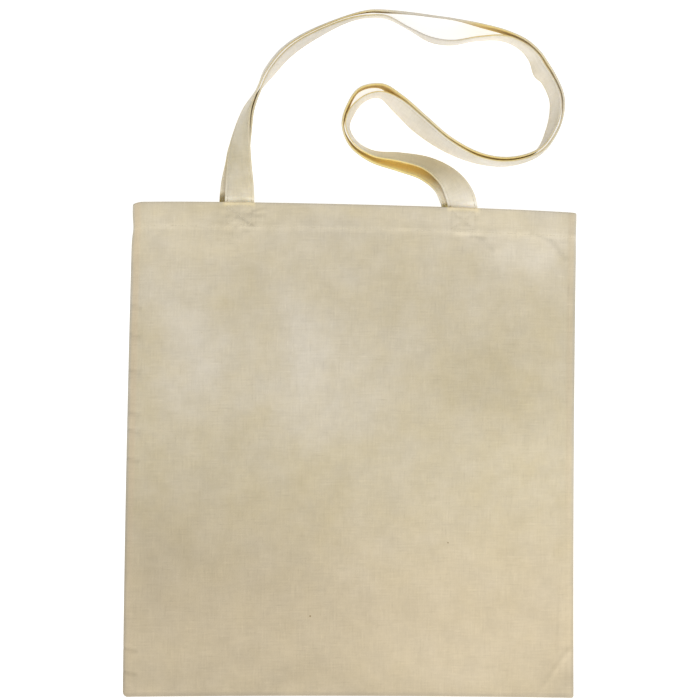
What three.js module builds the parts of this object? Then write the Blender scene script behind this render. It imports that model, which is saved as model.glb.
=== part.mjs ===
// Cotton tote bag lying on its back, both straps standing on edge in one long loop beyond the mouth.
// Millimetres. +X is right, +Y is towards the mouth, +Z is up, and z = 0 is the surface that it lies on.
import * as THREE from 'three';

// Body as it lies: the lengths of its four edges, and how far the middle of each edge bows outwards
const MOUTH_WIDTH = 377;
const BOTTOM_WIDTH = 383;
const LEFT_HEIGHT = 420;
const RIGHT_HEIGHT = 411.5;
const MOUTH_BOW = 2;
const BOTTOM_BOW = -1.3;
const LEFT_BOW = 1;
const RIGHT_BOW = -1;
const CORNER_RADIUS = 4;

// Cloth and the clear space that is left between two layers
const WALL = 1;
const LAYER_GAP = 0.3;
const HEM_DEPTH = 22;
const FOLD_RADIUS = WALL + LAYER_GAP / 2;

// Pillow shape of the front: its height over the seams, and the width of the slope beside each seam
const RISE = 6.2;
const SLOPE_WIDTH = 60;
const SEAM_LEVEL = WALL + LAYER_GAP;
const MOUTH_SEAM_LEVEL = 3 * (WALL + LAYER_GAP);
const MOUTH_SEAM_RUN = 40;

// Straps
const STRAP_WIDTH = 25;
const STRAP_THICKNESS = 1.8;
const STEPS_PER_ROW = 4;
const BACK_LIFT_SHARE = 0.39;

// Rows of the panel meshes
const ACROSS_FRONT = 30;
const UP_FRONT = 28;
const ACROSS_BACK = 16;
const UP_BACK = 10;
const FOLD_STEPS = 6;
const HEM_ROWS = [1.3, 8, 15, HEM_DEPTH];

// Soft swells and dips of the front panel: middle of each, reach across and up, and height
const SWELLS = [
  { name: 'swell below the left strap', x: -115, y: 80, reachX: 55, reachY: 45, height: 0.9 },
  { name: 'dip left of the middle', x: -70, y: 20, reachX: 40, reachY: 60, height: -0.8 },
  { name: 'swell right of the middle', x: 80, y: 30, reachX: 60, reachY: 80, height: 0.8 },
  { name: 'dip at the lower left', x: -110, y: -120, reachX: 60, reachY: 50, height: -1 },
  { name: 'swell at the lower right', x: 120, y: -110, reachX: 50, reachY: 60, height: 0.7 },
  { name: 'fold below the right strap', x: 105, y: 150, reachX: 14, reachY: 20, height: 1 },
];

// Course of the straps from the left anchor to the right one.
// x, y: middle of the front strap. lean: 0 lies flat, 90 stands on edge.
// lift: height of its lowest point over the surface.
// apart: how far the back strap runs to the right of the front strap. backLean: lean of the back strap.
const COURSE = [
  { at: 'left end in the hem', x: -97.5, y: 188.5, lean: 0, lift: 6.7, apart: -4.8, backLean: 0 },
  { at: 'left mouth edge', x: -97.5, y: 211, lean: 0, lift: 6.7, apart: -4.8, backLean: 0 },
  { at: 'left leg starts to roll', x: -97.5, y: 226, lean: 16, lift: 6.7, apart: -4, backLean: 13 },
  { at: 'left leg low', x: -97.7, y: 241, lean: 31, lift: 6.4, apart: -2, backLean: 29 },
  { at: 'left leg middle', x: -97.7, y: 255, lean: 40, lift: 5.6, apart: -0.5, backLean: 39 },
  { at: 'left leg high', x: -96.5, y: 267.5, lean: 53, lift: 4.4, apart: 1.7, backLean: 54 },
  { at: 'left leg on edge', x: -92, y: 288.5, lean: 71, lift: 1.6, apart: 3.3, backLean: 74 },
  { at: 'arc starts', x: -83, y: 307, lean: 84, lift: 0.3, apart: 2.6, backLean: 83 },
  { at: 'arc low', x: -76, y: 323, lean: 80, lift: 0.2, apart: 5.3, backLean: 94 },
  { at: 'arc middle', x: -62, y: 340.6, lean: 79, lift: 0.2, apart: 6.1, backLean: 96 },
  { at: 'arc high', x: -44, y: 353, lean: 79, lift: 0.2, apart: 5.4, backLean: 94 },
  { at: 'arc flattens', x: -8.4, y: 368.2, lean: 80, lift: 0.2, apart: 3.5, backLean: 85 },
  { at: 'top left', x: 9.8, y: 372.5, lean: 82, lift: 0.2, apart: 4.2, backLean: 83 },
  { at: 'straps part', x: 25, y: 372.5, lean: 83, lift: 0.2, apart: 4.8, backLean: 84 },
  { at: 'lens left', x: 44.5, y: 371.2, lean: 81, lift: 0.2, apart: 12.6, backLean: 83 },
  { at: 'lens middle', x: 64, y: 369, lean: 80, lift: 0.2, apart: 19.6, backLean: 88 },
  { at: 'lens right', x: 83, y: 366.5, lean: 80, lift: 0.2, apart: 19.8, backLean: 88 },
  { at: 'lens closes', x: 105, y: 361.7, lean: 85, lift: 0.2, apart: 11.2, backLean: 87 },
  { at: 'turn starts', x: 126.2, y: 356, lean: 86, lift: 0.2, apart: 5.1, backLean: 90 },
  { at: 'turn upper', x: 143.1, y: 348.2, lean: 86, lift: 0.2, apart: 5, backLean: 94 },
  { at: 'turn shoulder', x: 154, y: 338.6, lean: 86, lift: 0.2, apart: 6.1, backLean: 102 },
  { at: 'turn kink', x: 161.2, y: 328.4, lean: 86, lift: 0.2, apart: 7.8, backLean: 110 },
  { at: 'below the kink', x: 166, y: 320.8, lean: 86, lift: 0.2, apart: 6.7, backLean: 104 },
  { at: 'turn outermost', x: 173.5, y: 304.5, lean: 86, lift: 0.2, apart: 6.5, backLean: 104 },
  { at: 'turn right side', x: 174.7, y: 291.5, lean: 86, lift: 0.2, apart: 6.6, backLean: 105 },
  { at: 'turn lower', x: 170.3, y: 274.5, lean: 86, lift: 0.2, apart: 6, backLean: 102 },
  { at: 'turn foot', x: 156, y: 255.2, lean: 88, lift: 0.2, apart: 3.4, backLean: 92 },
  { at: 'return right', x: 131, y: 246.1, lean: 87, lift: 0.2, apart: 2.8, backLean: 86 },
  { at: 'return middle', x: 104.7, y: 248.1, lean: 84, lift: 0.2, apart: 3.3, backLean: 84 },
  { at: 'diagonal foot', x: 77.2, y: 260, lean: 73, lift: 0.2, apart: 3.1, backLean: 75 },
  { at: 'diagonal middle', x: 52.6, y: 278, lean: 63, lift: 0.2, apart: 3.1, backLean: 65 },
  { at: 'diagonal head', x: 34.8, y: 293.6, lean: 69, lift: 0.2, apart: 3.9, backLean: 72 },
  { at: 'loop top right', x: 20.2, y: 302.3, lean: 86, lift: 0.2, apart: 7.4, backLean: 90 },
  { at: 'loop top left', x: 7, y: 299, lean: 88, lift: 0.2, apart: 8.6, backLean: 92 },
  { at: 'loop shoulder', x: -3.7, y: 287.5, lean: 83, lift: 0.2, apart: 4.6, backLean: 88 },
  { at: 'loop left side', x: -7, y: 275.5, lean: 84, lift: 0.2, apart: 3.9, backLean: 88 },
  { at: 'loop lower left', x: -0.3, y: 262, lean: 80, lift: 0.2, apart: 4.2, backLean: 81 },
  { at: 'loop foot', x: 14.5, y: 253, lean: 75, lift: 0.2, apart: 5.1, backLean: 75 },
  { at: 'right leg starts to roll', x: 38, y: 250, lean: 68, lift: 0.4, apart: 8, backLean: 67 },
  { at: 'right leg high', x: 61.1, y: 244.7, lean: 58, lift: 1.5, apart: 8.4, backLean: 56 },
  { at: 'right leg middle', x: 78.8, y: 232.9, lean: 38, lift: 4, apart: 6.2, backLean: 34 },
  { at: 'right leg low', x: 88.2, y: 219, lean: 13, lift: 6.3, apart: 5, backLean: 10 },
  { at: 'right mouth edge', x: 91.2, y: 208.5, lean: 0, lift: 6.7, apart: 4.9, backLean: 0 },
  { at: 'right end in the hem', x: 91.5, y: 186.5, lean: 0, lift: 6.7, apart: 4.9, backLean: 0 },
];

const COTTON = '#cfc4a8';
const STRAP_COTTON = '#d6ccb4';

const { lerp, smoothstep, degToRad } = THREE.MathUtils;

// Rows that crowd towards both ends, from 0 to 1
function crowdedRows(count) {
  const rows = [];
  for (let i = 0; i <= count; i += 1) {
    rows.push((1 - Math.cos((Math.PI * i) / count)) / 2);
  }
  return rows;
}

// Height of the bag at u, where u runs from -1 at the left side to 1 at the right side
function heightAt(u) {
  return lerp(LEFT_HEIGHT, RIGHT_HEIGHT, (u + 1) / 2);
}

// Place on the lying bag: u from side to side, v from 0 at the bottom to 1 at the mouth
function placeOnBag(u, v) {
  const across = (u + 1) / 2;
  const halfWidth = lerp(BOTTOM_WIDTH, MOUTH_WIDTH, v) / 2;
  const sideBow = 4 * v * (1 - v) * lerp(-LEFT_BOW, RIGHT_BOW, across);
  const endBow = (1 - u * u) * lerp(-BOTTOM_BOW, MOUTH_BOW, v);
  const inset = Math.max(CORNER_RADIUS - (1 - Math.abs(u)) * halfWidth, 0);
  const corner = CORNER_RADIUS - Math.sqrt(CORNER_RADIUS ** 2 - inset ** 2);
  const x = u * halfWidth + sideBow;
  const y = (v - 0.5) * heightAt(u) + endBow + corner * (1 - v) ** 8;
  return { x, y };
}

// Share of the full rise at a distance from a seam
function slope(distance) {
  const left = Math.max(1 - distance / SLOPE_WIDTH, 0);
  return 1 - left * left;
}

// Height of the inner face of the front panel
function frontInner(u, v) {
  const halfWidth = lerp(BOTTOM_WIDTH, MOUTH_WIDTH, v) / 2;
  const below = (1 - v) * heightAt(u);
  const rise = slope((1 + u) * halfWidth) * slope((1 - u) * halfWidth) * slope(v * heightAt(u));
  const toMouth = 1 - smoothstep(below, HEM_DEPTH, HEM_DEPTH + MOUTH_SEAM_RUN);
  let level = lerp(SEAM_LEVEL, MOUTH_SEAM_LEVEL, toMouth) + RISE * rise;
  const { x, y } = placeOnBag(u, v);
  for (const swell of SWELLS) {
    const away = ((x - swell.x) / swell.reachX) ** 2 + ((y - swell.y) / swell.reachY) ** 2;
    level += swell.height * Math.exp(-away) * rise * (1 - toMouth);
  }
  return level;
}

// Height of the inner face of the back panel, which lies flat
function backInner() {
  return WALL;
}

// Closed outline of one panel cut from bottom to mouth at u, with the hem turned in.
// side is 1 where the outer face is above the inner face and -1 where it is below it.
function panelSection(u, rows, inner, side) {
  const height = heightAt(u);
  const place = (below, offset) => {
    const v = 1 - below / height;
    const { x, y } = placeOnBag(u, v);
    return new THREE.Vector3(x, y, inner(u, v) + side * offset);
  };
  const hemInner = -LAYER_GAP - WALL;
  const hemOuter = -LAYER_GAP;
  const panelRows = rows.map((row) => lerp(height, FOLD_RADIUS, row));
  const points = panelRows.map((below) => place(below, WALL));
  for (let i = 1; i < FOLD_STEPS; i += 1) {
    const turn = (Math.PI * i) / FOLD_STEPS;
    const below = FOLD_RADIUS * (1 - Math.sin(turn));
    const offset = WALL - FOLD_RADIUS * (1 - Math.cos(turn));
    points.push(place(below, offset));
  }
  HEM_ROWS.forEach((below) => points.push(place(below, hemInner)));
  HEM_ROWS.toReversed().forEach((below) => points.push(place(below, hemOuter)));
  points.push(place(HEM_ROWS[0], 0));
  panelRows.slice(0, -1).toReversed().forEach((below) => points.push(place(below, 0)));
  return points;
}

// Solid skinned over a row of closed sections, with a cap at each end
function skin(sections, capPlane) {
  const count = sections[0].length;
  const end = sections.length - 1;
  const positions = sections.flat().flatMap((point) => point.toArray());
  const index = [];
  for (let i = 0; i < end; i += 1) {
    for (let j = 0; j < count; j += 1) {
      const a = i * count + j;
      const b = i * count + ((j + 1) % count);
      index.push(a, a + count, b, b, a + count, b + count);
    }
  }
  const addCap = (row, sense) => {
    const flat = sections[row].map(capPlane);
    const loopArea = THREE.ShapeUtils.area(flat);
    for (const [a, b, c] of THREE.ShapeUtils.triangulateShape(flat, [])) {
      const keep = THREE.ShapeUtils.area([flat[a], flat[b], flat[c]]) * loopArea * sense > 0;
      const first = row * count;
      index.push(first + a, first + (keep ? b : c), first + (keep ? c : b));
    }
  };
  addCap(0, 1);
  addCap(end, -1);
  const geometry = new THREE.BufferGeometry();
  geometry.setAttribute('position', new THREE.Float32BufferAttribute(positions, 3));
  geometry.setIndex(index);
  geometry.computeVertexNormals();
  return geometry;
}

// Panel skinned from side to side
function panelGeometry(across, up, inner, side) {
  const rows = crowdedRows(up);
  const columns = crowdedRows(across).map((share) => side * (2 * share - 1));
  const sections = columns.map((u) => panelSection(u, rows, inner, side));
  return skin(sections, (point) => new THREE.Vector2(point.y, point.z));
}

// Rows of one strap: place, lean and lift, the back strap set beside the front one
function strapRows(isBack) {
  return COURSE.map((row, i) => {
    if (!isBack) {
      return { x: row.x, y: row.y, lean: row.lean, lift: row.lift };
    }
    const before = COURSE[Math.max(i - 1, 0)];
    const after = COURSE[Math.min(i + 1, COURSE.length - 1)];
    const along = new THREE.Vector2(after.x - before.x, after.y - before.y).normalize();
    const x = row.x + along.y * row.apart;
    const y = row.y - along.x * row.apart;
    return { x, y, lean: row.backLean, lift: row.lift * BACK_LIFT_SHARE };
  });
}

// Strap swept along its rows as a flat band that rolls between lying flat and standing on edge
function strapGeometry(isBack) {
  const rows = strapRows(isBack);
  const course = new THREE.CatmullRomCurve3(rows.map((row) => new THREE.Vector3(row.x, row.y, row.lift)));
  const leanPoints = rows.map((row) => new THREE.Vector3(row.lean, 0, 0));
  const leans = new THREE.CatmullRomCurve3(leanPoints, false, 'catmullrom');
  const up = new THREE.Vector3(0, 0, 1);
  const sections = [];
  const steps = (rows.length - 1) * STEPS_PER_ROW;
  for (let i = 0; i <= steps; i += 1) {
    const t = i / steps;
    const middle = course.getPoint(t);
    const lean = degToRad(Math.max(leans.getPoint(t).x, 0));
    const along = course.getTangent(t).setZ(0).normalize();
    const right = new THREE.Vector3().crossVectors(along, up);
    const width = right.clone().multiplyScalar(Math.cos(lean)).addScaledVector(up, Math.sin(lean));
    const face = new THREE.Vector3().crossVectors(width, along);
    const standing = Math.abs(Math.sin(lean)) * STRAP_WIDTH;
    const lying = Math.abs(Math.cos(lean)) * STRAP_THICKNESS;
    middle.z += (standing + lying) / 2;
    const corners = [[1, 1], [-1, 1], [-1, -1], [1, -1]];
    sections.push(corners.map(([w, f]) => {
      const corner = middle.clone().addScaledVector(width, (w * STRAP_WIDTH) / 2);
      return corner.addScaledVector(face, (f * STRAP_THICKNESS) / 2);
    }));
  }
  return skin(sections, (point) => new THREE.Vector2(point.x, point.z));
}

function addPiece(group, name, geometry, color) {
  const material = new THREE.MeshStandardMaterial({ color, roughness: 0.95, metalness: 0 });
  const mesh = new THREE.Mesh(geometry, material);
  mesh.name = name;
  group.add(mesh);
}

const bag = new THREE.Group();
bag.name = 'tote_bag';
addPiece(bag, 'front_panel', panelGeometry(ACROSS_FRONT, UP_FRONT, frontInner, 1), COTTON);
addPiece(bag, 'back_panel', panelGeometry(ACROSS_BACK, UP_BACK, backInner, -1), COTTON);
addPiece(bag, 'front_strap', strapGeometry(false), STRAP_COTTON);
addPiece(bag, 'back_strap', strapGeometry(true), STRAP_COTTON);

export default bag;
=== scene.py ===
# Cotton tote bag lying on its back, both straps standing on edge in one long loop beyond the mouth.
# Metres. +X is right, +Y is towards the mouth, +Z is up, and z = 0 is the surface that it lies on.
import math
from typing import NamedTuple

import bmesh
import bpy
from bpy.props import FloatProperty, FloatVectorProperty, PointerProperty
from mathutils import Matrix, Vector, noise


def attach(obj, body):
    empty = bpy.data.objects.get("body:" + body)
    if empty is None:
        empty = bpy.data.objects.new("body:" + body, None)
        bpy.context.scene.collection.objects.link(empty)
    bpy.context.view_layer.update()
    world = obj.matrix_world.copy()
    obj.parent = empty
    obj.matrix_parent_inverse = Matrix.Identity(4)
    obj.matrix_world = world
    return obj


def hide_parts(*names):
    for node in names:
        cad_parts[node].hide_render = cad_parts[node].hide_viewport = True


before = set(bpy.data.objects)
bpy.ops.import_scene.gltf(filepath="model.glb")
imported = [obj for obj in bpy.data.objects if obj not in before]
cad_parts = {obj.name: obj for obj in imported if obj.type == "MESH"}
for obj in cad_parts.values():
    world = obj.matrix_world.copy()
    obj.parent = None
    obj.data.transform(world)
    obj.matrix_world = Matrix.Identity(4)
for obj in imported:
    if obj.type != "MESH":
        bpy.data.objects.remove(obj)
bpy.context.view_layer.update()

bl_info = {
    "name": "Cotton tote bag",
    "version": (1, 0, 0),
    "blender": (4, 5, 0),
    "location": "3D View > Sidebar > Tote bag",
    "description": "Builds a calico tote bag lying on its back, with its two straps in one loop",
    "category": "Object",
}

MM = 0.001
BODY = "root"


# Tables of the lying cloth, in millimetres and degrees


class Swell(NamedTuple):
    """Broad rise or dip of the front cloth: its middle, its reach and its height."""

    at: str
    x: float
    y: float
    reach_x: float
    reach_y: float
    height: float


class Crease(NamedTuple):
    """Narrow fold or stroke of the front cloth from one end to the other: half its width, its height, and the
    share of painted light that it gains, which paints shade in folds and tucks and a highlight on ridges."""

    at: str
    x0: float
    y0: float
    x1: float
    y1: float
    reach: float
    height: float
    tone: float

    def share(self, x, y):
        """1 on the fold, fading to 0 beside it and beyond its ends."""
        return near_line(x / MM, y / MM, self.x0, self.y0, self.x1, self.y1, self.reach)


class Patch(NamedTuple):
    """Paler, darker or greyer area of the cloth, where painted light and shade mix with the cloth's own
    clouds: its middle, its reach, the share of painted light that it gains, and how much it leans to the
    greyer tone."""

    at: str
    x: float
    y: float
    reach_x: float
    reach_y: float
    tone: float
    grey: float


class Span(NamedTuple):
    """Stretch of a panel that is meshed with one step, finer where it is sewn."""

    at: str
    start: float
    end: float
    step: float


class Ripple(NamedTuple):
    """Unevenness of the cloth: its height, the length of its waves, how much they are squeezed along y, and
    the layer of noise that they are cut from."""

    height: float
    size: float
    squeeze: float
    layer: int


class StrapRow(NamedTuple):
    """Place on the straps' course. x, y: middle of the front strap. lean: 0 lies flat, 90 stands on edge.
    lift: height of its lowest point. apart: how far the back strap runs to its right. back_lean: its lean.
    glow: how golden the painted glow of light between the two straps is. dull: how much the cloth leans to
    its duller tone, painted shade on faces that turn from the light. dim: share of light that it loses,
    painted shade on the standing cloth."""

    at: str
    x: float
    y: float
    lean: float
    lift: float
    apart: float
    back_lean: float
    glow: float
    dull: float
    dim: float


SWELLS = (
    Swell("below the left strap", -115, 80, 55, 45, 0.9),
    Swell("left of the middle", -70, 20, 40, 60, -0.8),
    Swell("right of the middle", 80, 30, 60, 80, 0.8),
    Swell("lower left", -110, -120, 60, 50, -1),
    Swell("lower right", 120, -110, 50, 60, 0.7),
    Swell("below the right strap", 105, 150, 14, 20, 1),
)

# Places of the short tucks up the left side seam
LEFT_TUCKS = (123.5, 98, 68, 32, 17, -7, -168, -188)
# Creases paint shade in folds and tucks and highlights on ridges; some strokes are painted shade or light
# alone
CREASES = (
    Crease("ridge under the right strap end", 86, 186.3, 107, 186, 1.6, 0.4, 0.14),
    Crease("under the right strap end", 100, 183.5, 108, 181, 2, 1.1, -0.06),
    Crease("under the right strap end, lower", 108, 181, 117, 173, 2.2, 1.2, -0.06),
    Crease("to the right seam, upper", 150, 186, 163, 181.5, 1.8, 1, -0.05),
    Crease("to the right seam, lower", 166, 180, 179, 165, 2.2, 1.5, -0.08),
    Crease("lower right corner", 186, -166, 175, -182, 2.5, 1.1, 0.03),
    Crease("lower right corner, lower", 175, -182, 161, -203, 2.2, 0.6, 0),
    Crease("dull in the lower right corner", 185, -188, 178, -201, 6.5, 0, -0.07),
    Crease("lower left corner", -188, -196, -180, -203, 2.5, 0.5, 0),
    Crease("seam line, lower right", 177, -110, 176, -166, 1.3, -0.2, -0.05),
    Crease("right seam over the hem", 184, 205, 184, 189, 5, 0, -0.1),
    Crease("right seam, pale stretch", 185, 0, 185, -180, 5, 0, 0.05),
    Crease("pale below the right strap", 80, 204, 103, 203, 4, 0, 0.07),
    Crease("right of the left strap end", -86, 203.5, -75, 206, 1.2, -0.5, -0.12),
    Crease("right of the left strap end, lower", -84, 199, -76, 200.5, 1.1, -0.4, -0.07),
    Crease("across the left strap end", -95.5, 196.5, -86, 191.5, 1.3, -0.6, -0.14),
    Crease("in the left strap end", -106, 199.5, -99, 199.5, 1.1, -0.3, -0.04),
    Crease("below the left strap end", -98, 190, -79, 188.5, 1.3, 0.4, 0.12),
    Crease("below the left strap end, left", -108, 193, -98, 192, 1.2, 0.3, 0.08),
    *(Crease("tuck at the left seam", -192, y, -181, y - 2.5, 1.7, -0.9, -0.1) for y in LEFT_TUCKS),
)

# Painted light and shade mixed with the cloth's own clouds: the darker lower left and bottom and the paler
# right side are painted shade and light
PATCHES = (
    Patch("upper half", 0, 170, 260, 150, -0.012, 0.32),
    Patch("right end of the hem", 160, 182, 62, 36, 0.13, 0.3),
    Patch("hem", 0, 200, 300, 12, 0.06, -0.12),
    Patch("left end of the hem", -165, 192, 70, 26, 0.09, 0),
    Patch("upper left side", -152, 115, 26, 60, 0.06, 0.3),
    Patch("left side", -128, 56, 34, 44, 0.02, 0.35),
    Patch("dull, below the left strap", -95, 135, 26, 44, -0.03, -0.2),
    Patch("pale, above the middle", -40, 92, 34, 44, 0.04, 0.35),
    Patch("pale, middle", -24, 46, 40, 36, 0.05, 0.35),
    Patch("dull, below the hem", 40, 150, 48, 26, -0.03, -0.2),
    Patch("dull, right of the middle", 122, 72, 52, 34, -0.08, -0.15),
    Patch("lower left", -130, -95, 110, 105, -0.13, 0),
    Patch("darkest, left side", -166, -84, 38, 40, -0.05, 0),
    Patch("lower middle", -20, -120, 60, 60, -0.03, 0),
    Patch("lower right", 130, -110, 115, 130, 0.08, 0),
    Patch("bottom", 0, -205, 240, 22, -0.085, -0.15),
    Patch("bottom, left", -110, -200, 110, 24, -0.06, 0),
    Patch("below the right strap", 70, 185, 60, 30, 0.06, 0.1),
    Patch("right side", 165, 0, 45, 50, 0.06, 0.1),
)

# Columns of a panel from left to right, and its rows from the bottom seam to the mouth
COLUMN_SPANS = (
    Span("left edge", -191, -188, 0.5),
    Span("left seam", -188, -178, 1.25),
    Span("left side", -178, -118, 4),
    Span("left strap ends", -118, -82, 1),
    Span("middle", -82, 71, 4),
    Span("right strap ends", 71, 107, 1),
    Span("right side", 107, 146, 4),
    Span("fold at the right seam", 146, 178, 1.3),
    Span("right seam", 178, 188, 1.25),
    Span("right edge", 188, 191, 0.5),
)
ROW_SPANS = (
    Span("bottom edge", 0, 3, 0.5),
    Span("bottom seam", 3, 13, 1.25),
    Span("lowest tucks", 13, 50, 1.3),
    Span("cloth", 50, 371, 2.4),
    Span("hem", 371, 416, 1.1),
)

# Course of both straps, from their left ends over the loop to their right ends
COURSE = (
    StrapRow("left end in the hem", -97.5, 188.5, 0, 6.7, -4.8, 0, 0.8, 0, 0),
    StrapRow("left mouth edge", -97.5, 211, 0, 6.7, -4.8, 0, 0.8, 0.1, 0),
    StrapRow("left leg starts to roll", -97.5, 226, 16, 6.7, -4, 13, -0.5, 0.35, 0),
    StrapRow("left leg low", -97.7, 241, 31, 6.4, -2, 29, 0, 0.45, 0),
    StrapRow("left leg middle", -97.7, 255, 40, 5.6, -0.5, 39, 0, 0.45, 0),
    StrapRow("left leg high", -96.5, 267.5, 53, 4.4, 1.7, 54, 0, 0.45, 0),
    StrapRow("left leg on edge", -92, 288.5, 71, 1.6, 3.3, 74, 0.2, 0.3, 0.03),
    StrapRow("arc starts", -83, 307, 84, 0.3, 2.6, 83, 0.4, 0.1, 0.1),
    StrapRow("arc low", -76, 323, 80, 0.2, 5.3, 94, 0.5, 0, 0.17),
    StrapRow("arc middle", -62, 340.6, 79, 0.2, 6.1, 96, 0.8, -0.1, 0.27),
    StrapRow("arc high", -44, 353, 79, 0.2, 5.4, 94, 1, -0.1, 0.3),
    StrapRow("arc flattens", -8.4, 368.2, 80, 0.2, 3.5, 85, 1, 0, 0.28),
    StrapRow("top left", 9.8, 372.5, 82, 0.2, 4.2, 83, 0.7, 0.1, 0.1),
    StrapRow("straps part", 25, 372.5, 83, 0.2, 4.8, 84, 0.3, 0, 0.1),
    StrapRow("lens left", 44.5, 371.2, 81, 0.2, 12.6, 83, 0, -0.2, 0.2),
    StrapRow("lens middle", 64, 369, 80, 0.2, 19.6, 88, 0, -0.2, 0.25),
    StrapRow("lens right", 83, 366.5, 80, 0.2, 19.8, 88, 0.2, -0.2, 0.23),
    StrapRow("lens closes", 105, 361.7, 85, 0.2, 11.2, 87, 1, -0.1, 0.14),
    StrapRow("turn starts", 126.2, 356, 86, 0.2, 5.1, 90, 1, 0, 0.09),
    StrapRow("turn upper", 143.1, 348.2, 86, 0.2, 5, 94, 0.5, 0, 0.06),
    StrapRow("turn shoulder", 154, 338.6, 86, 0.2, 6.1, 102, 0.45, 0, 0.04),
    StrapRow("turn kink", 161.2, 328.4, 86, 0.2, 7.8, 110, 0.6, 0, 0.04),
    StrapRow("below the kink", 166, 320.8, 86, 0.2, 6.7, 104, 0.3, 0, 0.04),
    StrapRow("turn outermost", 173.5, 304.5, 86, 0.2, 6.5, 104, 0.2, 0, 0.04),
    StrapRow("turn right side", 174.7, 291.5, 86, 0.2, 6.6, 105, 0.2, 0, 0.06),
    StrapRow("turn lower", 170.3, 274.5, 86, 0.2, 6, 102, 0.3, 0.2, 0.14),
    StrapRow("turn foot", 156, 255.2, 88, 0.2, 3.4, 92, 0.6, 0.2, 0.18),
    StrapRow("return right", 131, 246.1, 87, 0.2, 2.8, 86, 1, 0, 0.1),
    StrapRow("return middle", 104.7, 248.1, 84, 0.2, 3.3, 84, 1, -0.1, 0.07),
    StrapRow("diagonal foot", 77.2, 260, 73, 0.2, 3.1, 75, 0.8, -0.15, 0.02),
    StrapRow("diagonal middle", 52.6, 278, 63, 0.2, 3.1, 65, 0.5, -0.15, 0.01),
    StrapRow("diagonal head", 34.8, 293.6, 69, 0.2, 3.9, 72, 0.9, -0.15, 0.03),
    StrapRow("loop top right", 20.2, 302.3, 86, 0.2, 7.4, 90, 1, -0.1, 0.08),
    StrapRow("loop top left", 7, 299, 88, 0.2, 8.6, 92, 1, -0.1, 0.08),
    StrapRow("loop shoulder", -3.7, 287.5, 83, 0.2, 4.6, 88, 1, 0, 0.06),
    StrapRow("loop left side", -7, 275.5, 84, 0.2, 3.9, 88, 0.8, 0, 0.05),
    StrapRow("loop lower left", -0.3, 262, 80, 0.2, 4.2, 81, 0.9, 0.1, -0.05),
    StrapRow("loop foot", 14.5, 253, 75, 0.2, 5.1, 75, 1, 0.6, -0.15),
    StrapRow("right leg starts to roll", 38, 250, 68, 0.4, 8, 67, 1, 1, -0.08),
    StrapRow("right leg high", 61.1, 244.7, 58, 1.5, 8.4, 56, 0.8, 0.9, 0),
    StrapRow("right leg middle", 78.8, 232.9, 38, 4, 6.2, 34, 0.1, 0.4, 0),
    StrapRow("right leg low", 88.2, 219, 13, 6.3, 5, 10, 0.15, 0, 0),
    StrapRow("right mouth edge", 91.2, 208.5, 0, 6.7, 4.9, 0, 1, -0.1, 0),
    StrapRow("right end in the hem", 91.5, 186.5, 0, 6.7, 4.9, 0, 1, -0.2, 0),
)

# Slack of the front, and sway of its pale and dull patches of painted light and cloth tone, with heights in
# millimetres
BROAD_SLACK = Ripple(0.3, 0.07, 1, 0)
FINE_SLACK = Ripple(0.1, 0.022, 1, 3)
BROAD_SWAY_X = Ripple(26, 0.06, 1, 21)
FINE_SWAY_X = Ripple(9, 0.02, 1, 22)
BROAD_SWAY_Y = Ripple(32, 0.07, 1, 23)
FINE_SWAY_Y = Ripple(9, 0.02, 1, 24)

# Puckers beside the stitches, and how far they reach
HEM_PUCKER = Ripple(0.0007, 0.007, 0.5, 0)
LEFT_END_PUCKER = Ripple(0.002, 0.009, 1.6, 5)
RIGHT_END_PUCKER = Ripple(0.001, 0.009, 1.6, 5)
SEAM_PUCKER = Ripple(0.00025, 0.011, 1, 7)
HEM_PUCKER_REACH = 0.007
SEAM_PUCKER_REACH = 0.012

# Shares by which the painted shade of the crosses and the painted highlight of the hem ridge vary, and by
# which a strap's thickness varies
BOX_UNEVENNESS = Ripple(1, 0.009, 1, 8)
RIDGE_UNEVENNESS = Ripple(1, 0.025, 1, 9)
STRAP_UNEVENNESS = Ripple(0.05, 0.004, 1, 11)

# Outline of the panels: the right side is pulled less than the left, and powers keep both to the corners
RIGHT_CORNER_SHARE = 0.4
RIGHT_PULL_SHARE = 0.15
CORNER_POWER = 8
WAIST_POWER = 12
WAIST_REACH = 0.008
DROOP_START = 0.95
DROOP_RUN = 0.05

# Relief of the seams, of the hem and of the strap ends, and the layers below the front at bottom and mouth
SEAM_LAYERS = (1, 3)
SEAM_GAP = 0.0001
SEAM_STEP_RUN = 0.0012
SEWN_REACH = 0.05
HEM_GROOVE_REACH = 0.001
HEM_STEP_RUN = (0.0005, 0.003)
BOX_REACH = 0.03
BOX_GROOVE_REACH = 0.0011
BACK_GROOVE_SHARE = 0.8
STRAP_END_LIFT = 0.0004
STRAP_END_MIDDLE = 0.013
STRAP_END_REACH_X = 0.019
STRAP_END_REACH_Y = 0.015
STRAP_GROOVE_REACH = 0.0007

# Painted light and shade and tones of the panels: shares, and the runs over which they fade
# Painted shade in the grooves of the boxed crosses
BOX_SHADE = -0.06
BOX_EVEN_SHARE = 0.7
# Painted highlight on the hem ridge, stronger to the right
RIDGE_LIGHT = 0.1
RIDGE_REACH = 0.0011
RIDGE_RUN = (-0.05, 0.1)
# Painted shade and greying on the cloth rolled into the seams, weaker at the mouth and the bottom
RIM_SHADE = -0.16
RIM_GREY = 0.4
RIM_RUN = (0.0005, 0.003)
MOUTH_RIM_SHARE = 0.4
BOTTOM_RIM_SHARE = 0.65
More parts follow.
